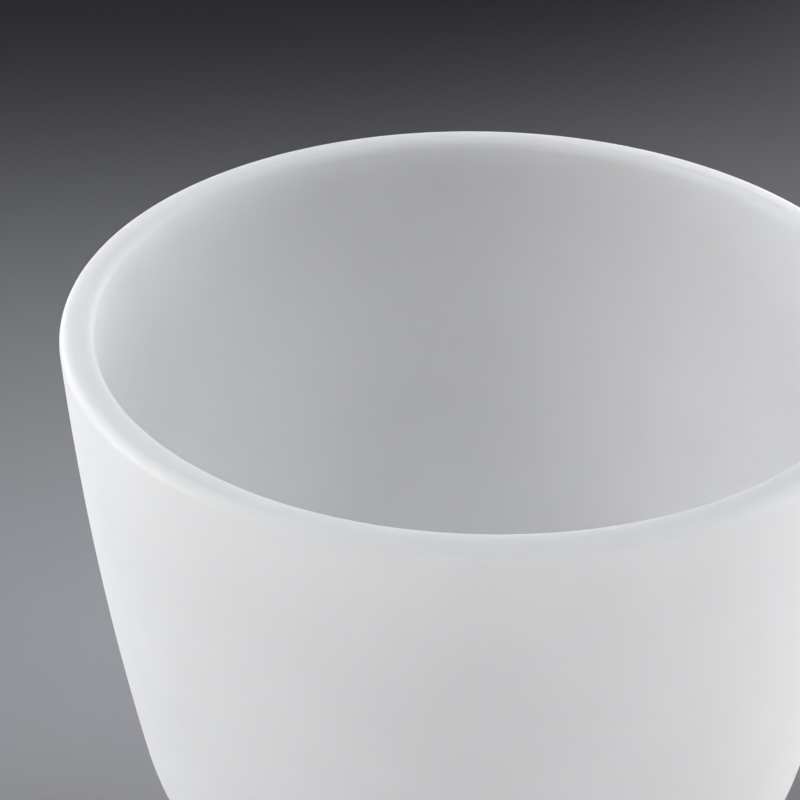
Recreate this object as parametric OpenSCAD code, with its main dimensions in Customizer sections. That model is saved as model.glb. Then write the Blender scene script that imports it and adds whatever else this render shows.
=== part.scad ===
// Frosted quartz singing bowl on its rubber ring, with the suede mallet that plays it.
// Millimetres, +Z up. The origin is on the bowl's axis, on the surface the set stands on.
// The mallet lies on that surface at the bowl's +X side, along Y.

/* [Bowl] */
// Outside diameter of the rim
rim_d = 200; // [185:5:215]
// Thickness of the quartz wall, the same all over
wall_t = 8.2; // [7:0.1:9.6]
// Radius that softens each edge of the ground rim
lip_r = 2.8; // [2:0.1:3.4]
// Height of the upper wall, from the rim's edge to the shoulder
wall_h = 112; // [100:1:120]
// Radius of the long curve of the upper wall
wall_arc_r = 880; // [750:10:1100]
// Lean of the wall just under the rim, in degrees from upright
rim_lean = 3.4; // [2:0.1:4.5]
// Radius of the rounded shoulder between the wall and the base
shoulder_r = 64; // [58:1:68]
// Radius of the shallow dome under the bowl
base_arc_r = 260; // [220:5:320]

/* [Base ring] */
// Diameter of the ring through the middle of its section
ring_d = 98; // [90:1:104]
// Diameter of the ring's round section
ring_section = 10; // [8:0.5:12]
// How much of the section is cut away flat underneath
ring_flat = 0.3; // [0.2:0.1:0.5]

/* [Mallet handle] */
// Length of the turned grip, from its butt to the neck bead
grip_len = 98; // [90:1:120]
// Radius of the grip at its fullest
grip_r = 12.5; // [11:0.5:13.5]
// Radius of the long curve that swells the grip
grip_arc_r = 420; // [350:10:600]
// Radius of the butt's shallow dome
butt_arc_r = 24; // [18:1:40]
// Radius that rounds the butt's edge
butt_edge_r = 4; // [2.5:0.5:6]
// Radius of the fine grooves turned near the butt
groove_r = 0.5; // [0.3:0.1:0.8]
// Radius of the neck and of the dowel inside the head
dowel_r = 10; // [9:0.5:10]
// Thickness of the bead at the neck
bead_t = 7; // [6:0.5:8]

/* [Mallet head] */
// Length of the head's straight, full-width part
head_len = 96; // [80:1:110]
// Wall of the rubber sleeve over the dowel
sleeve_t = 5.1; // [4:0.1:6]
// Thickness of the suede
suede_t = 1.4; // [1:0.1:1.8]
// Length of the slope where the head narrows to the neck
slope_len = 8; // [6:0.5:10]
// Length of the suede tail tied down on the neck
tail_len = 11; // [10:0.5:14]

/* [Thread] */
// Diameter of the waxed thread
thread_d = 1.2; // [1:0.1:1.4]
// Turns of thread around the suede tail
thread_turns = 7; // [5:1:8]
// Number of slanted stitches along the head's seam
stitch_count = 12; // [8:1:14]

/* [Layout] */
// Distance from the bowl's axis to the mallet's
mallet_x = 138; // [130:1:170]

/* [Hidden] */

// clearance between the bowl and its ring, which part when the bowl is lifted
seat_gap = 0.3;
// clearance between the thread and the suede that it lies on
thread_gap = 0.02;
// anything larger than the whole set
far = 600;
// pieces of a full turn for the large curves, the lathe and the small sections
fine_fn = 720;
lathe_fn = 180;
small_fn = 64;

// The bowl's profile lies in the plane of r and z, with z = 0 through the centres of the lip's curves.
// A direction is an angle up from the +r direction, so the wall's outward normal is at minus its lean.
lip_out = [rim_d / 2 - lip_r, 0];
wall_c = along(lip_out, -rim_lean, lip_r - wall_arc_r);
shoulder_lean = asin((wall_c.y + wall_h) / wall_arc_r);
shoulder_c = along(wall_c, -shoulder_lean, wall_arc_r - shoulder_r);
base_c = [0, shoulder_c.y + sqrt(pow(base_arc_r - shoulder_r, 2) - pow(shoulder_c.x, 2))];
lip_in_reach = wall_arc_r - wall_t + lip_r;
lip_in = [wall_c.x + sqrt(pow(lip_in_reach, 2) - pow(wall_c.y, 2)), 0];
lip_in_dir = asin(-wall_c.y / lip_in_reach);

// The ring's section, and the height at which it carries the shoulder of the bowl
ring_r = ring_section / 2;
ring_c = [ring_d / 2, ring_r - ring_flat];
seat_reach = shoulder_r + ring_r + seat_gap;
seat_z = ring_c.y + sqrt(pow(seat_reach, 2) - pow(ring_c.x - shoulder_c.x, 2));
rim_z = seat_z - shoulder_c.y;

// Places along the mallet, measured from its butt
bead_r = bead_t / 2;
tail_z = grip_len + 2;
slope_z = tail_z + tail_len;
head_z = slope_z + slope_len;
head_end_z = head_z + head_len;
sleeve_r = dowel_r + sleeve_t;
head_r = sleeve_r + suede_t;
mallet_len = head_end_z + suede_t;
grip_c = [grip_r - grip_arc_r, 0.42 * grip_len];
butt_c = [0, butt_arc_r];
butt_edge_c = meet(grip_c, grip_arc_r - butt_edge_r, butt_c, butt_arc_r - butt_edge_r);
groove_z = [12, 15];

// The thread round the tail lies turn against turn, and the stitches stop short of the head's ends
turn_pitch = 0.95 * thread_d;
turns_len = (thread_turns - 1) * turn_pitch;
stitch_w = 5;
stitch_margin = 6;
stitch_pitch = (head_len - 2 * stitch_margin) / stitch_count;

// The point at a distance from p in a direction of the r and z plane
function along(p, dir, dist) = p + dist * [cos(dir), sin(dir)];

// Where two circles cross, on the side of +r
function meet(c1, r1, c2, r2) =
    let (
        apart = norm(c2 - c1),
        foot = (r1 * r1 - r2 * r2 + apart * apart) / (2 * apart),
        half = sqrt(r1 * r1 - foot * foot),
        dir = (c2 - c1) / apart
    )
    c1 + foot * dir + half * [dir.y, -dir.x];

// A disc of the profile, with its centre anywhere in the r and z plane
module disc(c, r, fn = fine_fn) {
    translate(c) circle(r = r, $fn = fn);
}

// The half of the r and z plane that a lathe can turn
module turning_side() {
    translate([0, -far]) square([far, 2 * far]);
}

// The area inside an outline of three curves that run into each other: a long side, a corner and a
// shallow base. Each is [centre, radius], and the area is smaller by inset all round. top holds the
// points that close it above, from the side to the axis.
module turned_area(side, corner, base, inset, top) {
    hub = corner[0];
    reach = 2 * corner[1];
    side_dir = atan2(hub.y - side[0].y, hub.x - side[0].x);
    base_dir = atan2(hub.y - base[0].y, hub.x - base[0].x);
    below = along(hub, base_dir, reach);
    intersection() {
        turning_side();
        union() {
            intersection() {
                disc(side[0], side[1] - inset);
                polygon(concat([[0, hub.y], hub, along(hub, side_dir, reach)], top));
            }
            disc(hub, corner[1] - inset);
            intersection() {
                disc(base[0], base[1] - inset);
                polygon([[0, hub.y], hub, below, [0, below.y]]);
            }
        }
    }
}

// The area inside the bowl's outer skin
module cup_area(inset, top) {
    turned_area([wall_c, wall_arc_r], [shoulder_c, shoulder_r], [base_c, base_arc_r], inset, top);
}

// The rounded, flat-ground top of the wall
module lip_area() {
    disc(lip_out, lip_r, small_fn);
    disc(lip_in, lip_r, small_fn);
    translate(lip_in) square([lip_out.x - lip_in.x, lip_r]);
}

module bowl_profile() {
    wall_top = [along(lip_out, -rim_lean, 2 * lip_r), lip_out, lip_in,
                along(lip_in, 180 + lip_in_dir, 2 * lip_r), [0, 0]];
    open_top = [[far, 0], [far, lip_r + 1], [0, lip_r + 1]];
    difference() {
        cup_area(0, wall_top);
        cup_area(wall_t, open_top);
    }
    lip_area();
}

// One wall of fused quartz, frosted inside and out
module bowl() {
    color([0.93, 0.93, 0.95])
        translate([0, 0, rim_z])
            rotate_extrude($fn = lathe_fn) bowl_profile();
}

// Round-section ring that the bowl's shoulder sits in
module base_ring() {
    color([0.07, 0.07, 0.08])
        rotate_extrude($fn = lathe_fn)
            intersection() {
                disc(ring_c, ring_r, small_fn);
                square([far, far]);
            }
}

// Stands the mallet's own axis (+Z, from its butt) along Y, with the head's side on the surface
module on_its_side() {
    translate([mallet_x, -mallet_len / 2, head_r])
        rotate([-90, 0, 0])
            rotate_extrude($fn = lathe_fn) children();
}

// The grip's swell, from the butt up to the bead, with its fine grooves
module grip_area() {
    bead_z = grip_len - bead_t;
    difference() {
        turned_area([grip_c, grip_arc_r], [butt_edge_c, butt_edge_r], [butt_c, butt_arc_r], 0,
                    [[2 * grip_r, bead_z], [0, bead_z]]);
        for (z = groove_z)
            disc([grip_c.x + sqrt(pow(grip_arc_r, 2) - pow(z - grip_c.y, 2)), z], groove_r, small_fn);
    }
}

// Turned beech: grip, bead and neck, and the dowel through the head
module mallet_handle() {
    color([0.80, 0.63, 0.44])
        on_its_side()
            union() {
                grip_area();
                disc([dowel_r, grip_len - bead_r], bead_r, small_fn);
                translate([0, grip_len - bead_t]) square([dowel_r, head_end_z - grip_len + bead_t]);
            }
}

// Rubber tube over the dowel, bevelled where the head narrows
module mallet_sleeve() {
    color([0.25, 0.25, 0.26])
        on_its_side()
            polygon([[dowel_r, slope_z], [sleeve_r, head_z], [sleeve_r, head_end_z], [dowel_r, head_end_z]]);
}

// Suede round the sleeve, drawn in over the bevel and down onto the neck
module suede_wrap() {
    tail_r = dowel_r + suede_t;
    color([0.66, 0.62, 0.57])
        on_its_side()
            polygon([[dowel_r, tail_z], [tail_r, tail_z], [tail_r, slope_z], [head_r, head_z],
                     [head_r, head_end_z], [sleeve_r, head_end_z], [sleeve_r, head_z], [dowel_r, slope_z]]);
}

// Suede disc glued over the end of the head
module suede_cap() {
    edge_r = suede_t / 2;
    edge_c = [head_r - edge_r, head_end_z + edge_r];
    color([0.66, 0.62, 0.57])
        on_its_side()
            union() {
                translate([0, head_end_z]) square([edge_c.x, suede_t]);
                disc(edge_c, edge_r, small_fn);
            }
}

// Waxed thread wound round the suede tail
module thread_binding() {
    tail_r = dowel_r + suede_t;
    thread_r = thread_d / 2;
    first_z = tail_z + (tail_len - turns_len) / 2;
    color([0.86, 0.82, 0.72])
        on_its_side()
            union() {
                for (turn = [0 : thread_turns - 1])
                    disc([tail_r + thread_gap + thread_r, first_z + turn * turn_pitch], thread_r, small_fn);
                translate([tail_r + thread_gap, first_z]) square([thread_r, turns_len]);
            }
}

// Stitches of the same thread leaning across the seam, on top of the head
module seam_stitches() {
    thread_r = thread_d / 2;
    lean = atan2(stitch_pitch / 2, stitch_w);
    seam_top = 2 * head_r + thread_gap + thread_r;
    color([0.86, 0.82, 0.72])
        for (i = [0 : stitch_count - 1])
            translate([mallet_x, head_z - mallet_len / 2 + stitch_margin + (i + 0.5) * stitch_pitch, seam_top])
                rotate([0, 0, lean])
                    rotate([0, 90, 0])
                        cylinder(r = thread_r, h = stitch_w, center = true, $fn = 24);
}

bowl();
base_ring();
mallet_handle();
mallet_sleeve();
suede_wrap();
suede_cap();
thread_binding();
seam_stitches();
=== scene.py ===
"""Looks of a frosted quartz singing bowl, its rubber ring and its suede mallet.

Metres, in the CAD model's frame: +Z up, the bowl's axis through the origin, the surface at z = 0.
"""

import math

import bmesh
import bpy
from mathutils import Matrix, Vector, noise


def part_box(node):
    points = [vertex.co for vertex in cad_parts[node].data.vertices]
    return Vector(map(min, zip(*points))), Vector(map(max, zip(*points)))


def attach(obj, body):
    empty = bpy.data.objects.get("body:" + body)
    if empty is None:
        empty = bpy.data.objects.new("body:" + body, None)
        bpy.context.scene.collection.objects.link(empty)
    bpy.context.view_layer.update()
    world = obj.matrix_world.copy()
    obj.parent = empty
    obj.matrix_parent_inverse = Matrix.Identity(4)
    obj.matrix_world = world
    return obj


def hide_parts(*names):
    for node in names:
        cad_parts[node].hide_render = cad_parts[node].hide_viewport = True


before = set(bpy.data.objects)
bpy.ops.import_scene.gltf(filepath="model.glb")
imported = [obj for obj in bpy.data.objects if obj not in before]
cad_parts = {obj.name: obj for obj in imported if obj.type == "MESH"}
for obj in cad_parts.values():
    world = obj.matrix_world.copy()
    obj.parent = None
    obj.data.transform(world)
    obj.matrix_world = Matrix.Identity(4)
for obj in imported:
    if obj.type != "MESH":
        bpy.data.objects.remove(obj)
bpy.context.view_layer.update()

MM = 0.001

# ---- sizes of the set: from its CAD boxes, and otherwise the same as in the part's source ----
_, bowl_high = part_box("bowl")
RIM_R = bowl_high.x
WALL = {
    "Rim radius": RIM_R,
    "Wall": 8.2 * MM,
    "Lip radius": 2.8 * MM,
    "Wall height": 112 * MM,
    "Wall curve": 880 * MM,
    "Rim lean": math.radians(3.4),
    "Shoulder radius": 64 * MM,
    "Base curve": 260 * MM,
    "Rim height": bowl_high.z,
    "Segments": 288,
}

_, ring_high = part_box("base_ring")
RING = {
    "Ring radius": ring_high.x - 5 * MM,
    "Section radius": 5 * MM,
    "Middle height": 4.7 * MM,
    "Parting ridge": 0.2 * MM,
    "Segments": 256,
}

# The mallet lies along Y. Its places are measured from the butt, and its angles round from +X
# through the top.
handle_low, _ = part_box("mallet_handle")
wrap_low, wrap_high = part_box("suede_wrap")
BUTT_Y = handle_low.y
MALLET_X = (wrap_low.x + wrap_high.x) / 2
HEAD_R = (wrap_high.x - wrap_low.x) / 2
GRIP_LEN, NECK_R, BEAD_R = 98 * MM, 10 * MM, 3.5 * MM
GRIP_CURVE, GRIP_MIDDLE, GRIP_R = 420 * MM, 41.16 * MM, 12.5 * MM
BUTT_CURVE, BUTT_EDGE = 24 * MM, 4 * MM
GROOVES, GROOVE_R = (12 * MM, 15 * MM), 0.5 * MM
TAIL_AT = wrap_low.y - BUTT_Y
SLOPE_AT, HEAD_AT, HEAD_END = TAIL_AT + 11 * MM, TAIL_AT + 19 * MM, wrap_high.y - BUTT_Y
SUEDE = 1.4 * MM
TAIL_R, SLEEVE_R = NECK_R + SUEDE, HEAD_R - SUEDE
STITCHES = 12
STITCH_MARGIN = 6 * MM
STITCH_PITCH = (HEAD_END - HEAD_AT - 2 * STITCH_MARGIN) / STITCHES
STITCH_LEAN = math.atan2(STITCH_PITCH / 2, 5 * MM)
THREAD_R = 0.6 * MM
THREAD_LAY = 3.4 * MM  # one twist of its plies
GAP = 0.02 * MM  # left between a piece and what it lies on

# steps along each curve of the profiles, and round each turned piece
BASE_STEPS, SHOULDER_STEPS, SIDE_STEPS, LIP_STEPS, FLAT_STEPS = 26, 40, 44, 9, 6
FOOT_STEPS, OVER_STEPS, RIDGE_STEPS = 26, 64, 9
HANDLE_AROUND, COVER_AROUND, CAP_AROUND = 144, 288, 224

MESH_WELD, TURN_WELD = 1e-6, 0.00001
SHARP = math.radians(40)

BINDING = {
    "Coil radius": TAIL_R + GAP + THREAD_R,
    "Turns": 7.0,
    "Pitch": 1.14 * MM,
    "First turn": TAIL_AT + 1.5 * MM,
    "Thread radius": THREAD_R,
    "Lay": THREAD_LAY,
    "Steps each turn": 150,
}
SEAM = {
    "Stitches": STITCHES,
    "Pitch": STITCH_PITCH,
    "Start": HEAD_AT + STITCH_MARGIN + STITCH_PITCH / 2,
    "Height": 2 * HEAD_R,
    "Lean": STITCH_LEAN,
    "Reach": 2.9 * MM,
    "Dip": 0.9 * MM,
    "Rise": 2.0 * MM,
    "Thread radius": THREAD_R,
    "Lay": THREAD_LAY,
    "Seed": 5,
}


# ---- node trees ----
def put(tree, socket, value):
    """Sets a socket to a number, or links it to another socket."""
    if isinstance(value, bpy.types.NodeSocket):
        tree.links.new(value, socket)
    else:
        socket.default_value = value


def add(tree, kind, values=None, **settings):
    """A node with its settings, and its inputs set or linked by name."""
    made = tree.nodes.new(kind)
    for name, value in settings.items():
        setattr(made, name, value)
    for key, value in (values or {}).items():
        put(tree, made.inputs[key], value)
    return made


def calc(tree, operation, *values):
    """One sum on numbers and sockets."""
    made = add(tree, "ShaderNodeMath", operation=operation)
    for socket, value in zip(made.inputs, values):
        put(tree, socket, value)
    return made.outputs[0]


def place(tree, x=0.0, y=0.0, z=0.0):
    return add(tree, "ShaderNodeCombineXYZ", {"X": x, "Y": y, "Z": z}).outputs[0]


def new_tree(name, sizes):
    """A geometry tree with one named input for each size, and the sockets that carry them."""
    tree = bpy.data.node_groups.new(name, "GeometryNodeTree")
    for size, value in sizes.items():
        kind = "NodeSocketInt" if isinstance(value, int) else "NodeSocketFloat"
        tree.interface.new_socket(name=size, in_out="INPUT", socket_type=kind)
    tree.interface.new_socket(name="Geometry", in_out="OUTPUT", socket_type="NodeSocketGeometry")
    return tree, tree.nodes.new("NodeGroupInput").outputs


def close_tree(tree, geometry, material):
    """Ends a tree with plain geometry in one material."""
    real = add(tree, "GeometryNodeRealizeInstances", {"Geometry": geometry})
    smooth = add(tree, "GeometryNodeSetShadeSmooth", {"Geometry": real.outputs[0]})
    dressed = add(tree, "GeometryNodeSetMaterial", {"Geometry": smooth.outputs[0], "Material": material})
    tree.links.new(dressed.outputs[0], tree.nodes.new("NodeGroupOutput").inputs[0])


def grow(name, tree, sizes):
    """The plain mesh that a tree makes from its sizes, as an object with no modifier."""
    seed = bpy.data.objects.new(name + "_seed", bpy.data.meshes.new(name + "_seed"))
    bpy.context.scene.collection.objects.link(seed)
    modifier = seed.modifiers.new(tree.name, "NODES")
    modifier.node_group = tree
    for item in tree.interface.items_tree:
        if item.in_out == "INPUT":
            modifier[item.identifier] = sizes[item.name]
    seen = bpy.context.evaluated_depsgraph_get()
    mesh = bpy.data.meshes.new_from_object(seed.evaluated_get(seen), depsgraph=seen)
    bpy.data.objects.remove(seed)
    mesh.name = name
    return in_scene(name, mesh)


def in_scene(name, mesh):
    """Puts a mesh in the scene with its faces pointing outwards."""
    work = bmesh.new()
    work.from_mesh(mesh)
    bmesh.ops.remove_doubles(work, verts=work.verts, dist=MESH_WELD)
    bmesh.ops.recalc_face_normals(work, faces=work.faces)
    work.to_mesh(mesh)
    work.free()
    piece = bpy.data.objects.new(name, mesh)
    bpy.context.scene.collection.objects.link(piece)
    return piece


# ---- the bowl ----
def arc(tree, centre, radius, start, sweep, steps):
    """A curve round centre in the plane of r (as x) and z (as y)."""
    curve = add(tree, "GeometryNodeCurveArc", {
        "Resolution": steps, "Radius": radius, "Start Angle": start, "Sweep Angle": sweep})
    moved = add(tree, "GeometryNodeTransform", {
        "Geometry": curve.outputs["Curve"], "Translation": place(tree, *centre)})
    return moved.outputs[0]


def turn(tree, curves, segments, reach):
    """Turns curves of the r and z plane about the Z axis, and welds what they make."""
    joined = add(tree, "GeometryNodeJoinGeometry")
    for curve in curves:
        tree.links.new(curve, joined.inputs[0])
    outward = add(tree, "GeometryNodeTransform", {
        "Geometry": joined.outputs[0], "Scale": (1, -1, 1),
        "Translation": place(tree, calc(tree, "MULTIPLY", reach, -1))})
    circle = add(tree, "GeometryNodeCurvePrimitiveCircle", {"Resolution": segments, "Radius": reach})
    swept = add(tree, "GeometryNodeCurveToMesh", {
        "Curve": circle.outputs[0], "Profile Curve": outward.outputs[0]})
    return add(tree, "GeometryNodeMergeByDistance", {
        "Geometry": swept.outputs[0], "Distance": TURN_WELD}).outputs[0]


def quartz_wall_tree(material):
    """The bowl's closed wall: two skins of concentric curves, a wall apart, and the ground lip."""
    tree, size = new_tree("turned quartz wall", WALL)
    rim, wall, lip = size["Rim radius"], size["Wall"], size["Lip radius"]
    side_r, lean = size["Wall curve"], size["Rim lean"]
    corner_r, base_r = size["Shoulder radius"], size["Base curve"]

    def less(a, b):
        return calc(tree, "SUBTRACT", a, b)

    def times(a, b):
        return calc(tree, "MULTIPLY", a, b)

    def third_side(long, short):
        return calc(tree, "SQRT", less(times(long, long), times(short, short)))

    lip_r = less(rim, lip)
    side_reach = less(side_r, lip)
    side_x = less(lip_r, times(side_reach, calc(tree, "COSINE", lean)))
    side_y = times(side_reach, calc(tree, "SINE", lean))
    low = calc(tree, "ARCSINE", calc(tree, "DIVIDE", calc(tree, "ADD", side_y, size["Wall height"]), side_r))
    to_corner = less(side_r, corner_r)
    corner_x = calc(tree, "ADD", side_x, times(to_corner, calc(tree, "COSINE", low)))
    corner_y = less(side_y, times(to_corner, calc(tree, "SINE", low)))
    to_base = less(base_r, corner_r)
    base_y = calc(tree, "ADD", corner_y, third_side(to_base, corner_x))
    spread = calc(tree, "ARCSINE", calc(tree, "DIVIDE", corner_x, to_base))
    inner_reach = calc(tree, "ADD", less(side_r, wall), lip)
    inner_lip = calc(tree, "ADD", side_x, third_side(inner_reach, side_y))
    inner_lean = calc(tree, "ARCSINE", calc(tree, "DIVIDE", side_y, inner_reach))

    down, up = -math.pi / 2, math.pi / 2
    to_side = less(calc(tree, "SUBTRACT", up, spread), low)
    curves = []
    for inset, top_lean in ((0.0, lean), (wall, inner_lean)):
        curves += [
            arc(tree, (0.0, base_y), less(base_r, inset), down, spread, BASE_STEPS),
            arc(tree, (corner_x, corner_y), less(corner_r, inset), calc(tree, "ADD", down, spread),
                to_side, SHOULDER_STEPS),
            arc(tree, (side_x, side_y), less(side_r, inset), times(low, -1), less(low, top_lean),
                SIDE_STEPS),
        ]
    curves.append(arc(tree, (lip_r, 0.0), lip, times(lean, -1), calc(tree, "ADD", up, lean), LIP_STEPS))
    curves.append(arc(tree, (inner_lip, 0.0), lip, up, less(up, inner_lean), LIP_STEPS))
    flat = add(tree, "GeometryNodeCurvePrimitiveLine", {
        "Start": place(tree, inner_lip, lip), "End": place(tree, lip_r, lip)})
    curves.append(add(tree, "GeometryNodeResampleCurve", {
        "Curve": flat.outputs[0], "Count": FLAT_STEPS}).outputs[0])

    turned = turn(tree, curves, size["Segments"], rim)
    raised = add(tree, "GeometryNodeTransform", {
        "Geometry": turned, "Translation": place(tree, 0.0, 0.0, less(size["Rim height"], lip))})
    close_tree(tree, raised.outputs[0], material)
    return tree


def bowl():
    piece = grow("quartz_bowl", quartz_wall_tree(frosted_quartz()), WALL)
    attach(piece, "bowl")
    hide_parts("bowl")


# ---- the rubber ring ----
def ring_tree(material):
    """A round section cut flat underneath, with the mould's fine ridge inside and outside."""
    tree, size = new_tree("moulded ring", RING)
    across, section = size["Ring radius"], size["Section radius"]
    height, ridge = size["Middle height"], size["Parting ridge"]
    foot = calc(tree, "ARCSINE", calc(tree, "DIVIDE", height, section))
    notch = calc(tree, "MULTIPLY", calc(tree, "ARCSINE", calc(
        tree, "DIVIDE", ridge, calc(tree, "MULTIPLY", section, 2))), 2)
    half_foot = calc(tree, "MULTIPLY", section, calc(tree, "COSINE", foot))
    ridge_turn = calc(tree, "ADD", math.pi, notch)
    side = calc(tree, "SUBTRACT", foot, notch)
    curves = [
        arc(tree, (across, height), section, calc(tree, "MULTIPLY", foot, -1), side, FOOT_STEPS),
        arc(tree, (across, height), section, notch, calc(
            tree, "SUBTRACT", math.pi, calc(tree, "MULTIPLY", notch, 2)), OVER_STEPS),
        arc(tree, (across, height), section, ridge_turn, side, FOOT_STEPS),
    ]
    for way, start in ((1, -math.pi / 2), (-1, math.pi / 2)):
        at = calc(tree, "ADD", across, calc(tree, "MULTIPLY", section, way))
        ridge_start = calc(tree, "SUBTRACT", start, calc(tree, "DIVIDE", notch, 2))
        curves.append(arc(tree, (at, height), ridge, ridge_start, ridge_turn, RIDGE_STEPS))
    foot_line = add(tree, "GeometryNodeCurvePrimitiveLine", {
        "Start": place(tree, calc(tree, "SUBTRACT", across, half_foot)),
        "End": place(tree, calc(tree, "ADD", across, half_foot))})
    curves.append(foot_line.outputs[0])
    close_tree(tree, turn(tree, curves, size["Segments"], across), material)
    return tree


def base_ring():
    piece = grow("rubber_ring", ring_tree(ring_rubber()), RING)
    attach(piece, "ring")
    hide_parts("base_ring")


# ---- lathe work on the mallet ----
def on_mallet(along, radius, angle):
    return (MALLET_X + radius * math.cos(angle), BUTT_Y + along, HEAD_R + radius * math.sin(angle))


def lathe(name, outline, around, material, closed=False, press=None):
    """Turns (along, radius) points about the mallet's axis; press may move a radius at an angle."""
    work = bmesh.new()
    angles = [2 * math.pi * i / around for i in range(around)]
    rows = []
    for index, (along, radius) in enumerate(outline):
        if radius == 0:
            rows.append([work.verts.new(on_mallet(along, 0, 0))] * around)
        else:
            rows.append([work.verts.new(on_mallet(
                along, press(index, along, radius, angle) if press else radius, angle)) for angle in angles])
    for low, high in zip(rows, rows[1:] + (rows[:1] if closed else [])):
        for i in range(around):
            j = (i + 1) % around
            corners = []
            for corner in (low[i], low[j], high[j], high[i]):
                if corner not in corners:
                    corners.append(corner)
            work.faces.new(corners).smooth = True
    bmesh.ops.recalc_face_normals(work, faces=work.faces)
    for edge in work.edges:
        edge.smooth = edge.calc_face_angle(0) < SHARP
    mesh = bpy.data.meshes.new(name)
    work.to_mesh(mesh)
    work.free()
    mesh.materials.append(material)
    piece = bpy.data.objects.new(name, mesh)
    bpy.context.scene.collection.objects.link(piece)
    return piece


def bend(centre, radius, start, end, steps):
    """Points round centre, in degrees from along the mallet towards outwards."""
    turn_to = [math.radians(start + (end - start) * i / steps) for i in range(steps + 1)]
    return [(centre[0] + radius * math.cos(t), centre[1] + radius * math.sin(t)) for t in turn_to]


def run(start, end, steps):
    """Evenly spaced points on a straight line, without its last."""
    return [tuple(a + (b - a) * i / steps for a, b in zip(start, end)) for i in range(steps)]


def meet(c1, r1, c2, r2):
    """Where two circles cross, on the butt's side and outwards."""
    c1, c2 = Vector(c1), Vector(c2)
    line = c2 - c1
    foot = (r1 ** 2 - r2 ** 2 + line.length_squared) / (2 * line.length)
    half = math.sqrt(r1 ** 2 - foot ** 2)
    way = line.normalized()
    sides = (Vector((way.y, -way.x)), Vector((-way.y, way.x)))
    options = [c1 + foot * way + half * side for side in sides]
    return min(options, key=lambda point: point.x)


def grip_radius(along):
    return GRIP_R - GRIP_CURVE + math.sqrt(GRIP_CURVE ** 2 - (along - GRIP_MIDDLE) ** 2)


def handle():
    """Turned grip with a domed butt and two grooves, a bead at the neck, and the dowel through the head."""
    swell = (GRIP_MIDDLE, GRIP_R - GRIP_CURVE)
    dome = (BUTT_CURVE, 0)
    edge = meet(swell, GRIP_CURVE - BUTT_EDGE, dome, BUTT_CURVE - BUTT_EDGE)
    from_dome = math.degrees(math.atan2(edge.y, edge.x - dome[0]))
    from_swell = math.degrees(math.atan2(edge.y - swell[1], edge.x - swell[0]))
    outline = [(0, 0)] + bend(dome, BUTT_CURVE, 178.5, from_dome, 12)[:-1]
    outline += bend(edge, BUTT_EDGE, from_dome, from_swell, 14)
    reached = outline[-1][0]
    for groove in GROOVES:
        outline += [(s, grip_radius(s)) for s, _ in run((reached, 0), (groove - GROOVE_R, 0), 8)[1:]]
        outline += bend((groove, grip_radius(groove)), GROOVE_R, 180, 360, 10)
        reached = groove + GROOVE_R
    bead_at = GRIP_LEN - BEAD_R
    quirk = GRIP_LEN - 2 * BEAD_R
    outline += [(s, grip_radius(s)) for s, _ in run((reached, 0), (quirk - 0.6 * MM, 0), 60)[1:]]
    outline += [(quirk - 0.5 * MM, grip_radius(quirk) - 0.05 * MM),
                (quirk - 0.1 * MM, NECK_R - 0.9 * MM)]
    outline += bend((bead_at, NECK_R), BEAD_R, 176, 4, 26)
    outline += [(GRIP_LEN + 0.15 * MM, NECK_R - 0.25 * MM), (GRIP_LEN + 0.6 * MM, NECK_R)]
    outline += [(HEAD_END, NECK_R), (HEAD_END, 0)]
    piece = lathe("beech_handle", outline, HANDLE_AROUND, turned_beech())
    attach(piece, "mallet")
    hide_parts("mallet_handle")


def dress_sleeve():
    """The sleeve keeps its own shape, under the suede, and takes its rubber."""
    sleeve = bpy.data.objects["mallet_sleeve"]
    sleeve.data.materials.clear()
    sleeve.data.materials.append(sleeve_rubber())


# ---- the suede head ----
# how far the suede is worked in or out, in mm
PLEAT_DEPTH, TAIL_FLARE, SLOPE_FLARE = 0.62, 0.5, 0.35
SEAM_DEPTH, SEAM_ROLL, SEAM_PUCKER = 0.75, 0.30, 0.17
LUMPS, FINE_LUMPS, SUNK = 0.20, 0.05, 0.12
CAP_RIPPLE, CAP_FUZZ, CAP_SUNK, CAP_CROWN = 0.18, 0.06, 0.2, 0.25


def fade(value, start, end):
    """0 before start and 1 after end, smoothly."""
    t = min(max((value - start) / (end - start), 0), 1)
    return t * t * (3 - 2 * t)


def above_floor(radius, angle):
    """Keeps a radius from reaching under the surface that the head lies on."""
    below = -math.sin(angle)
    return min(radius, (HEAD_R - GAP) / below) if below > 0.5 else radius


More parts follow.
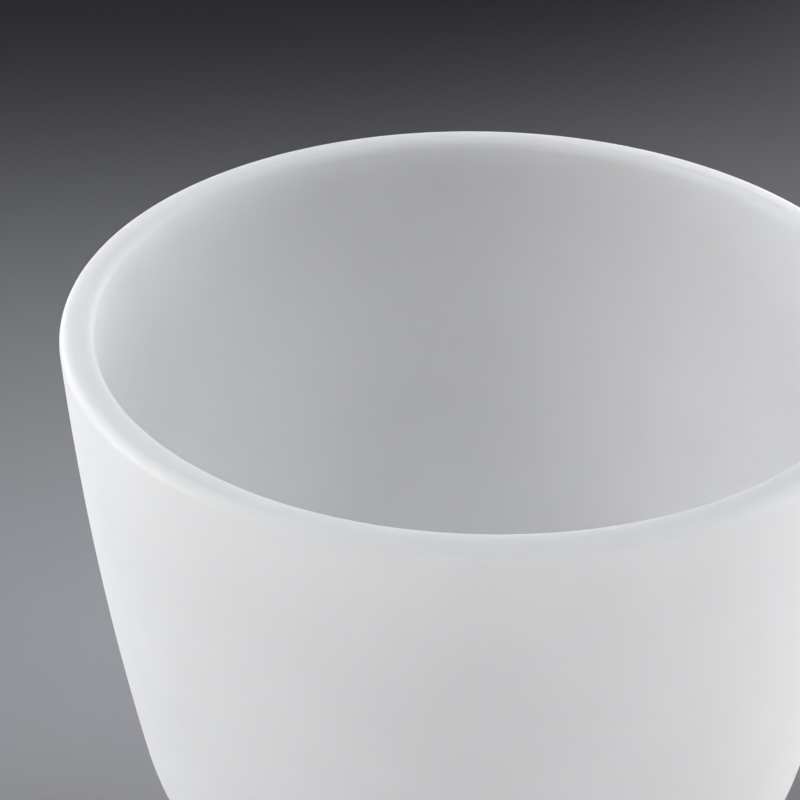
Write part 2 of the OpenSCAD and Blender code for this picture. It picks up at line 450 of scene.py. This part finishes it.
def worked_suede(along, radius, angle):
    """The suede's outer radius: pleats where it is gathered, a seam on top, a little unevenness."""
    mm = along / MM
    from_top = (angle - math.pi / 2 + math.pi) % (2 * math.pi) - math.pi
    across = from_top * radius / MM
    gather = 1 - fade(along, SLOPE_AT, HEAD_AT + 7 * MM)
    wander = 9 * angle + 0.9 * math.sin(2 * angle + 1) + 0.6 * math.sin(3 * angle) + 0.02 * mm
    fold = 1 - abs(math.sin(wander))
    pleat = -PLEAT_DEPTH * gather * fold ** 2
    at_tail = 1 - fade(along, TAIL_AT, TAIL_AT + 1.4 * MM)
    end_flare = TAIL_FLARE * at_tail + SLOPE_FLARE * fade(along, SLOPE_AT - 1.3 * MM, SLOPE_AT)
    end_flare *= 1 - fade(along, SLOPE_AT + 1 * MM, HEAD_AT)
    near_end = fade(along, HEAD_END - 3 * MM, HEAD_END)
    sewn = fade(along, HEAD_AT - 4 * MM, HEAD_AT + 3 * MM) * (1 - 0.4 * near_end)
    stitch = (along - HEAD_AT - STITCH_MARGIN) / STITCH_PITCH
    gap = -SEAM_DEPTH * math.exp(-(across / 0.42) ** 2)
    rolled = SEAM_ROLL * math.exp(-((abs(across) - 1.5) / 1.0) ** 2)
    pucker = SEAM_PUCKER * math.cos(2 * math.pi * stitch) * math.exp(-(across / 3.6) ** 2)
    lumps = LUMPS * noise.noise(Vector((0.07 * mm, 1.7 * math.cos(angle), 1.7 * math.sin(angle))))
    lumps += FINE_LUMPS * noise.noise(Vector((0.45 * mm, 9 * math.cos(angle), 9 * math.sin(angle))))
    moved = pleat + end_flare + sewn * (gap + rolled + pucker) + lumps - SUNK
    return above_floor(radius + MM * moved, angle)


def head_cover():
    """One piece of suede, laid round the sleeve, drawn in over its bevel, and thick at both ends."""
    outer = [(along, TAIL_R + (HEAD_R - TAIL_R) * fade(along, SLOPE_AT - 1 * MM, HEAD_AT + 2 * MM))
             for along, _ in run((TAIL_AT, 0), (HEAD_END - 0.6 * MM, 0), 240)]
    outer += bend((HEAD_END - 0.6 * MM, HEAD_R - 0.6 * MM), 0.6 * MM, 90, 20, 5)
    inner = [(HEAD_END, SLEEVE_R + GAP), (HEAD_AT, SLEEVE_R + GAP),
             (SLOPE_AT, NECK_R + GAP), (TAIL_AT, NECK_R + GAP)]

    def press(index, along, radius, angle):
        return worked_suede(along, radius, angle) if index < len(outer) else radius

    piece = lathe("suede_cover", outer + inner, COVER_AROUND, suede(), closed=True, press=press)
    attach(piece, "mallet")
    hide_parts("suede_wrap")


def head_cap():
    """A cut disc of suede glued over the end, a little pillowed, with a soft uneven edge."""
    face = HEAD_END + SUEDE
    edge = SUEDE / 2
    back = HEAD_END + GAP
    flat_r = HEAD_R - edge

    def crowned(radius):
        return face - GAP - CAP_CROWN * MM * fade(radius, 0.3 * HEAD_R, HEAD_R)

    outline = [(back, 0)] + run((back, 2 * MM), (back, flat_r), 8)
    outline += bend((HEAD_END + edge, flat_r), edge - GAP, 180, 0, 14)
    outline += [(crowned(flat_r - inset), flat_r - inset)
                for inset, _ in run((0.4 * MM, 0), (flat_r, 0), 26)]
    outline.append((face - GAP, 0))

    def press(index, along, radius, angle):
        rim = fade(radius, HEAD_R - 2 * MM, HEAD_R)
        ripple = noise.noise(Vector((3 * math.cos(angle), 3 * math.sin(angle), 40 * along)))
        fuzz = noise.noise(Vector((22 * math.cos(angle), 22 * math.sin(angle), 900 * along)))
        return above_floor(radius + MM * rim * (CAP_RIPPLE * ripple + CAP_FUZZ * fuzz - CAP_SUNK), angle)

    piece = lathe("suede_end", outline, CAP_AROUND, suede(), press=press)
    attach(piece, "mallet")
    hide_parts("suede_cap")


# ---- the waxed thread ----
def thread_on(tree, path, radius, lay):
    """A closed tube of three twisted plies along a path."""
    strand = add(tree, "GeometryNodeCurvePrimitiveCircle", {"Resolution": 18, "Radius": 1.0})
    spot = tree.nodes.new("GeometryNodeInputPosition").outputs[0]
    axes = add(tree, "ShaderNodeSeparateXYZ", {0: spot})
    lobe = calc(tree, "COSINE", calc(tree, "MULTIPLY", calc(
        tree, "ARCTAN2", axes.outputs["Y"], axes.outputs["X"]), 3))
    swell = calc(tree, "MULTIPLY", radius, calc(tree, "ADD", 0.83, calc(tree, "MULTIPLY", lobe, 0.15)))
    ply = add(tree, "ShaderNodeVectorMath", {0: spot}, operation="SCALE")
    put(tree, ply.inputs["Scale"], swell)
    profile = add(tree, "GeometryNodeSetPosition", {
        "Geometry": strand.outputs[0], "Position": ply.outputs[0]})
    reached = tree.nodes.new("GeometryNodeSplineParameter").outputs["Length"]
    twist = calc(tree, "MULTIPLY", calc(tree, "DIVIDE", reached, lay), 2 * math.pi)
    twisted = add(tree, "GeometryNodeSetCurveTilt", {"Curve": path, "Tilt": twist})
    return add(tree, "GeometryNodeCurveToMesh", {
        "Curve": twisted.outputs[0], "Profile Curve": profile.outputs[0], "Fill Caps": True}).outputs[0]


def binding_tree(material):
    """Turn against turn round the suede's tail, with both ends tucked under."""
    tree, size = new_tree("whipped binding", BINDING)
    coil = size["Coil radius"]
    spiral = add(tree, "GeometryNodeCurveSpiral", {
        "Resolution": size["Steps each turn"], "Rotations": size["Turns"], "Start Radius": coil,
        "End Radius": coil, "Height": calc(tree, "MULTIPLY", size["Turns"], size["Pitch"])})
    reached = tree.nodes.new("GeometryNodeSplineParameter").outputs["Factor"]
    nearest = calc(tree, "MINIMUM", reached, calc(tree, "SUBTRACT", 1.0, reached))
    tuck = calc(tree, "MAXIMUM", calc(tree, "SUBTRACT", 1.0, calc(tree, "DIVIDE", nearest, 0.012)), 0.0)
    inward = calc(tree, "MULTIPLY", calc(tree, "MULTIPLY", tuck, tuck), -0.09)
    spot = tree.nodes.new("GeometryNodeInputPosition").outputs[0]
    radial = add(tree, "ShaderNodeVectorMath", {0: spot, 1: (1, 1, 0)}, operation="MULTIPLY")
    shift = add(tree, "ShaderNodeVectorMath", {0: radial.outputs[0]}, operation="SCALE")
    put(tree, shift.inputs["Scale"], inward)
    tucked = add(tree, "GeometryNodeSetPosition", {
        "Geometry": spiral.outputs[0], "Offset": shift.outputs[0]})
    thread = thread_on(tree, tucked.outputs[0], size["Thread radius"], size["Lay"])
    laid = add(tree, "GeometryNodeTransform", {
        "Geometry": thread, "Rotation": (-math.pi / 2, 0, 0),
        "Translation": place(tree, MALLET_X, calc(tree, "ADD", size["First turn"], BUTT_Y), HEAD_R)})
    close_tree(tree, laid.outputs[0], material)
    return tree


def seam_tree(material):
    """Slanted stitches along the top of the head, each dipping into the suede at both ends."""
    tree, size = new_tree("seam stitches", SEAM)
    reach, dip = size["Reach"], calc(tree, "MULTIPLY", size["Dip"], -1)
    stitch = add(tree, "GeometryNodeCurveQuadraticBezier", {
        "Resolution": 26, "Start": place(tree, calc(tree, "MULTIPLY", reach, -1), 0.0, dip),
        "Middle": place(tree, 0.0, 0.0, size["Rise"]), "End": place(tree, reach, 0.0, dip)})
    thread = thread_on(tree, stitch.outputs[0], size["Thread radius"], size["Lay"])
    line = add(tree, "GeometryNodeMeshLine", {
        "Count": size["Stitches"], "Offset": place(tree, 0.0, size["Pitch"], 0.0), "Start Location": place(
            tree, MALLET_X, calc(tree, "ADD", size["Start"], BUTT_Y), size["Height"])})
    hand = add(tree, "FunctionNodeRandomValue", {
        0: (-0.05, -0.05, -0.10), 1: (0.05, 0.05, 0.10), "Seed": size["Seed"]}, data_type="FLOAT_VECTOR")
    leaning = add(tree, "ShaderNodeVectorMath", {
        0: hand.outputs[0], 1: place(tree, 0.0, 0.0, size["Lean"])}, operation="ADD")
    sewn = add(tree, "GeometryNodeInstanceOnPoints", {
        "Points": line.outputs[0], "Instance": thread, "Rotation": leaning.outputs[0]})
    close_tree(tree, sewn.outputs[0], material)
    return tree


def threads():
    waxed = waxed_thread()
    for name, tree, sizes, node in (
            ("waxed_binding", binding_tree(waxed), BINDING, "thread_binding"),
            ("waxed_stitches", seam_tree(waxed), SEAM, "seam_stitches")):
        piece = grow(name, tree, sizes)
        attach(piece, "mallet")
        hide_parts(node)


# ---- materials ----
def new_material(name):
    """A material with its tree and its Principled shader."""
    material = bpy.data.materials.new(name)
    material.use_nodes = True
    tree = material.node_tree
    return material, tree, tree.nodes["Principled BSDF"]


def marks(tree, scale, detail=2.0, rough=0.5, stretch=(1, 1, 1), centre=(0, 0, 0)):
    """Noise on the piece's own coordinates, in marks to the metre."""
    where = tree.nodes.new("ShaderNodeTexCoord").outputs["Object"]
    moved = add(tree, "ShaderNodeMapping", {
        "Vector": where, "Location": tuple(-c for c in centre)})
    drawn = add(tree, "ShaderNodeMapping", {"Vector": moved.outputs[0], "Scale": stretch})
    made = add(tree, "ShaderNodeTexNoise", {
        "Vector": drawn.outputs[0], "Scale": scale, "Detail": detail, "Roughness": rough})
    return made.outputs["Fac"]


def shades(tree, value, *stops):
    """A colour ramp through (place, colour) stops."""
    ramp = add(tree, "ShaderNodeValToRGB", {"Fac": value})
    while len(ramp.color_ramp.elements) < len(stops):
        ramp.color_ramp.elements.new(0.5)
    for element, (at, colour) in zip(ramp.color_ramp.elements, stops):
        element.position = at
        element.color = (*colour, 1)
    return ramp.outputs["Color"]


def between(tree, value, low, high, to_low, to_high):
    return add(tree, "ShaderNodeMapRange", {
        "Value": value, "From Min": low, "From Max": high, "To Min": to_low, "To Max": to_high}).outputs[0]


def blend_colour(tree, amount, one, other, blend_type="MIX"):
    mix = add(tree, "ShaderNodeMix", data_type="RGBA", blend_type=blend_type)
    for socket, value in ((mix.inputs[0], amount), (mix.inputs[6], one), (mix.inputs[7], other)):
        put(tree, socket, value)
    return mix.outputs[2]


def raise_by(tree, shader, *layers):
    """Bumps of (height, depth in metres, strength), one on another."""
    normal = None
    for height, depth, strength in layers:
        bump = add(tree, "ShaderNodeBump", {"Height": height, "Distance": depth, "Strength": strength})
        if normal:
            tree.links.new(normal, bump.inputs["Normal"])
        normal = bump.outputs[0]
    tree.links.new(normal, shader.inputs["Normal"])


def frosted_quartz():
    """White fused quartz: cloudy, translucent and finely frosted, smoother on the ground lip."""
    material, tree, shader = new_material("frosted quartz")
    cloud = marks(tree, 22, 4, 0.55)
    tree.links.new(shades(tree, cloud, (0.3, (0.848, 0.848, 0.851)), (0.7, (0.886, 0.886, 0.888))),
                   shader.inputs["Base Color"])
    height = add(tree, "ShaderNodeSeparateXYZ", {0: tree.nodes.new("ShaderNodeTexCoord").outputs["Object"]})
    lip = between(tree, height.outputs["Z"], bowl_high.z - 5 * MM, bowl_high.z - 2 * MM, 0, -0.12)
    frost = between(tree, marks(tree, 900, 3, 0.6), 0.3, 0.7, 0.56, 0.66)
    tree.links.new(calc(tree, "ADD", frost, lip), shader.inputs["Roughness"])
    shader.inputs["IOR"].default_value = 1.46
    shader.inputs["Specular IOR Level"].default_value = 0.35
    shader.inputs["Subsurface Weight"].default_value = 1.0
    shader.inputs["Subsurface Radius"].default_value = (1.0, 0.97, 0.95)
    shader.inputs["Subsurface Scale"].default_value = 0.016
    raise_by(tree, shader, (marks(tree, 3200, 2, 0.6), 0.05 * MM, 0.25),
             (marks(tree, 30, 3, 0.5), 0.4 * MM, 0.10))
    return material


def ring_rubber():
    """Black moulded rubber, satin where it is handled, with a little dust in its grain."""
    material, tree, shader = new_material("ring rubber")
    dust = marks(tree, 160, 5, 0.62)
    tree.links.new(shades(tree, dust, (0.35, (0.018, 0.018, 0.019)), (0.62, (0.030, 0.030, 0.031)),
                          (0.85, (0.055, 0.054, 0.053))), shader.inputs["Base Color"])
    tree.links.new(between(tree, marks(tree, 420, 4, 0.6), 0.3, 0.7, 0.42, 0.60), shader.inputs["Roughness"])
    shader.inputs["IOR"].default_value = 1.52
    shader.inputs["Specular IOR Level"].default_value = 0.45
    raise_by(tree, shader, (marks(tree, 2600, 2, 0.5), 0.03 * MM, 0.35),
             (marks(tree, 300, 3, 0.5), 0.10 * MM, 0.15))
    return material


def sleeve_rubber():
    """Dark grey ground rubber under the suede."""
    material, tree, shader = new_material("sleeve rubber")
    crumb = marks(tree, 700, 4, 0.6)
    tree.links.new(shades(tree, crumb, (0.3, (0.045, 0.045, 0.047)), (0.7, (0.085, 0.084, 0.084))),
                   shader.inputs["Base Color"])
    tree.links.new(between(tree, crumb, 0.3, 0.7, 0.7, 0.9), shader.inputs["Roughness"])
    raise_by(tree, shader, (crumb, 0.10 * MM, 0.5))
    return material


def turned_beech():
    """Oiled beech: growth rings, long pores and the short dark flecks of its rays."""
    material, tree, shader = new_material("turned beech")
    heart = (MALLET_X - 31 * MM, 0, HEAD_R - 24 * MM)
    where = tree.nodes.new("ShaderNodeTexCoord").outputs["Object"]
    centred = add(tree, "ShaderNodeMapping", {"Vector": where, "Location": tuple(-c for c in heart)})
    waver = marks(tree, 26, 3, 0.5, (1, 0.35, 1), heart)
    spread = add(tree, "ShaderNodeCombineXYZ", {
        "X": between(tree, waver, 0, 1, -3.2 * MM, 3.2 * MM),
        "Z": between(tree, marks(tree, 19, 2, 0.5, (1, 0.3, 1)), 0, 1, -3.2 * MM, 3.2 * MM)})
    bent = add(tree, "ShaderNodeVectorMath", {0: centred.outputs[0], 1: spread.outputs[0]}, operation="ADD")
    rings = add(tree, "ShaderNodeTexWave", {
        "Vector": bent.outputs[0], "Scale": 95.0, "Distortion": 1.2, "Detail": 2.0, "Detail Scale": 1.4},
        wave_type="RINGS", rings_direction="Y", wave_profile="SAW")
    tone = marks(tree, 34, 3, 0.5, (1, 0.12, 1), heart)
    wood = shades(tree, rings.outputs["Fac"], (0.0, (0.560, 0.350, 0.200)), (0.55, (0.515, 0.310, 0.170)),
                  (0.86, (0.420, 0.235, 0.120)), (1.0, (0.545, 0.338, 0.190)))
    toned = blend_colour(tree, between(tree, tone, 0.3, 0.7, 0, 0.45), wood, (0.62, 0.41, 0.25, 1))
    flecks = marks(tree, 1500, 2, 0.5, (1, 0.16, 1), heart)
    flecked = blend_colour(tree, between(tree, flecks, 0.60, 0.70, 0, 0.55), toned, (0.30, 0.155, 0.075, 1))
    pores = marks(tree, 4200, 2, 0.5, (1, 0.03, 1), heart)
    pored = blend_colour(tree, between(tree, pores, 0.58, 0.75, 0, 0.30), flecked, (0.33, 0.19, 0.10, 1))
    along = add(tree, "ShaderNodeSeparateXYZ", {0: where}).outputs["Y"]
    burnt = 0.0
    for groove in GROOVES:
        off = calc(tree, "ABSOLUTE", calc(tree, "SUBTRACT", along, BUTT_Y + groove))
        burnt = calc(tree, "MAXIMUM", burnt, between(tree, off, 0.25 * MM, 0.75 * MM, 0.8, 0.0))
    scorched = blend_colour(tree, burnt, pored, (0.075, 0.035, 0.018, 1))
    tree.links.new(scorched, shader.inputs["Base Color"])
    tree.links.new(between(tree, pores, 0.3, 0.7, 0.40, 0.58), shader.inputs["Roughness"])
    shader.inputs["IOR"].default_value = 1.5
    raise_by(tree, shader, (pores, 0.05 * MM, 0.35), (flecks, 0.03 * MM, 0.25))
    return material


def suede():
    """Undyed suede: short fibres in brushed patches, a soft sheen, darker where the nap is up."""
    material, tree, shader = new_material("suede")
    patches = marks(tree, 95, 4, 0.6, (1, 0.6, 1))
    fibres = marks(tree, 2300, 4, 0.7)
    clumps = marks(tree, 620, 3, 0.6)
    brushed = shades(tree, patches, (0.32, (0.250, 0.205, 0.160)), (0.5, (0.330, 0.275, 0.218)),
                     (0.70, (0.400, 0.340, 0.272)))
    napped = blend_colour(tree, between(tree, clumps, 0.3, 0.7, 0, 0.40), brushed, (0.235, 0.190, 0.146, 1))
    tipped = blend_colour(tree, between(tree, fibres, 0.55, 0.8, 0, 0.55), napped, (0.520, 0.455, 0.375, 1))
    tree.links.new(tipped, shader.inputs["Base Color"])
    tree.links.new(between(tree, fibres, 0.3, 0.7, 0.86, 0.98), shader.inputs["Roughness"])
    shader.inputs["Specular IOR Level"].default_value = 0.2
    shader.inputs["Sheen Weight"].default_value = 0.45
    shader.inputs["Sheen Roughness"].default_value = 0.55
    shader.inputs["Sheen Tint"].default_value = (0.90, 0.84, 0.76, 1)
    raise_by(tree, shader, (fibres, 0.12 * MM, 0.55), (clumps, 0.22 * MM, 0.45), (patches, 0.3 * MM, 0.25))
    return material


def waxed_thread():
    """Cream linen thread, waxed: fine fibres along the plies and a low gloss."""
    material, tree, shader = new_material("waxed thread")
    fibres = marks(tree, 5200, 3, 0.6)
    grime = marks(tree, 260, 3, 0.55)
    cream = shades(tree, grime, (0.3, (0.560, 0.470, 0.330)), (0.7, (0.730, 0.650, 0.500)))
    lined = blend_colour(tree, between(tree, fibres, 0.45, 0.75, 0, 0.5), cream, (0.42, 0.33, 0.21, 1))
    tree.links.new(lined, shader.inputs["Base Color"])
    tree.links.new(between(tree, grime, 0.3, 0.7, 0.42, 0.62), shader.inputs["Roughness"])
    shader.inputs["Subsurface Weight"].default_value = 0.15
    shader.inputs["Subsurface Scale"].default_value = 0.0008
    raise_by(tree, shader, (fibres, 0.04 * MM, 0.5))
    return material


def plain_floor():
    """A pale grey matt sheet with the slightest unevenness."""
    material, tree, shader = new_material("plain floor")
    tone = marks(tree, 3, 3, 0.5)
    tree.links.new(shades(tree, tone, (0.3, (0.350, 0.350, 0.368)), (0.7, (0.370, 0.370, 0.388))),
                   shader.inputs["Base Color"])
    tree.links.new(between(tree, marks(tree, 40, 3, 0.5), 0.3, 0.7, 0.82, 0.92), shader.inputs["Roughness"])
    return material


# ---- the studio ----
LENS, RIM_RADII_AWAY = 113.73, 6
RISE, PAN, TILT, ROLL = (math.radians(a) for a in (29.468, 1.834, -2.087, -1.322))
WHITE, COOL = (1, 1, 1), (0.93, 0.96, 1.0)
BOX_AIM, BOX_SPREAD = (0, 0, 0.12), math.radians(60)
FLOOR_HALF = 4

# height, distance from the bowl's axis, and size of the boxes that stand in groups
NEAR_FLOOR, AT_FOOT = (0.06, 0.9, 0.3), (0.17, 0.9, 0.3)
BEHIND, OVER_RIM = (0.32, 0.9, 0.3), (0.96, 0.45, 0.4)


def camera():
    """A long lens in front of the bowl and above it, aimed at the rim's middle and then turned a little."""
    data = bpy.data.cameras.new("camera")
    data.sensor_width = 36
    data.lens = LENS
    data.clip_start, data.clip_end = 0.01, 50
    away = RIM_RADII_AWAY * RIM_R
    target = Vector((0, 0, bowl_high.z))
    back = Vector((0, -math.cos(RISE), math.sin(RISE)))
    turned = Matrix.Rotation(math.radians(90) - RISE, 4, "X")
    aim = Matrix.Rotation(PAN, 4, "Y") @ Matrix.Rotation(TILT, 4, "X") @ Matrix.Rotation(-ROLL, 4, "Z")
    made = bpy.data.objects.new("camera", data)
    bpy.context.scene.collection.objects.link(made)
    made.matrix_world = Matrix.Translation(target + away * back) @ turned @ aim
    bpy.context.scene.camera = made


def floor():
    mesh = bpy.data.meshes.new("floor")
    corners = [(x * FLOOR_HALF, y * FLOOR_HALF, 0) for x, y in ((-1, -1), (1, -1), (1, 1), (-1, 1))]
    mesh.from_pydata(corners, [], [(0, 1, 2, 3)])
    mesh.materials.append(plain_floor())
    piece = bpy.data.objects.new("floor", mesh)
    bpy.context.scene.collection.objects.link(piece)


def softbox(name, azimuth, height, reach, size, power, tint=WHITE):
    """A square soft light turned to the bowl; azimuth 0 is the camera's side, and 90 is +X."""
    data = bpy.data.lights.new(name, "AREA")
    data.shape = "SQUARE"
    data.size = size
    data.energy = power
    data.color = tint
    data.spread = BOX_SPREAD
    made = bpy.data.objects.new(name, data)
    bpy.context.scene.collection.objects.link(made)
    turn_by = math.radians(azimuth)
    made.location = (reach * math.sin(turn_by), -reach * math.cos(turn_by), height)
    made.rotation_euler = (made.location - Vector(BOX_AIM)).to_track_quat("Z", "Y").to_euler()


def studio():
    """Boxes near the floor light the wall through, cooler ones reach over the rim, and two fill in."""
    softbox("right low", 90, *NEAR_FLOOR, 0.61)
    softbox("left low", 270, *NEAR_FLOOR, 0.56)
    softbox("front low", 0, *NEAR_FLOOR, 0.55)
    softbox("left rear low", 225, *NEAR_FLOOR, 0.08)
    softbox("rim right rear", 150, *AT_FOOT, 0.39)
    softbox("rim right", 120, *AT_FOOT, 0.18)
    softbox("left rear", 240, *BEHIND, 0.29, COOL)
    softbox("right rear", 120, *BEHIND, 0.25, COOL)
    softbox("left rear high", 240, *OVER_RIM, 0.33, COOL)
    softbox("right rear high", 120, *OVER_RIM, 0.22, COOL)
    softbox("right box", 90, 0.73, 0.73, 0.5, 0.14, COOL)
    softbox("left box", 285, 0.62, 0.72, 0.5, 0.15)
    world = bpy.data.worlds.new("studio")
    world.use_nodes = True
    background = world.node_tree.nodes["Background"]
    background.inputs["Color"].default_value = (0.5, 0.5, 0.53, 1)
    background.inputs["Strength"].default_value = 0.07
    bpy.context.scene.world = world
    bpy.context.scene.view_settings.view_transform = "Standard"


camera()
bowl()
base_ring()
handle()
dress_sleeve()
head_cover()
head_cap()
threads()
floor()
studio()
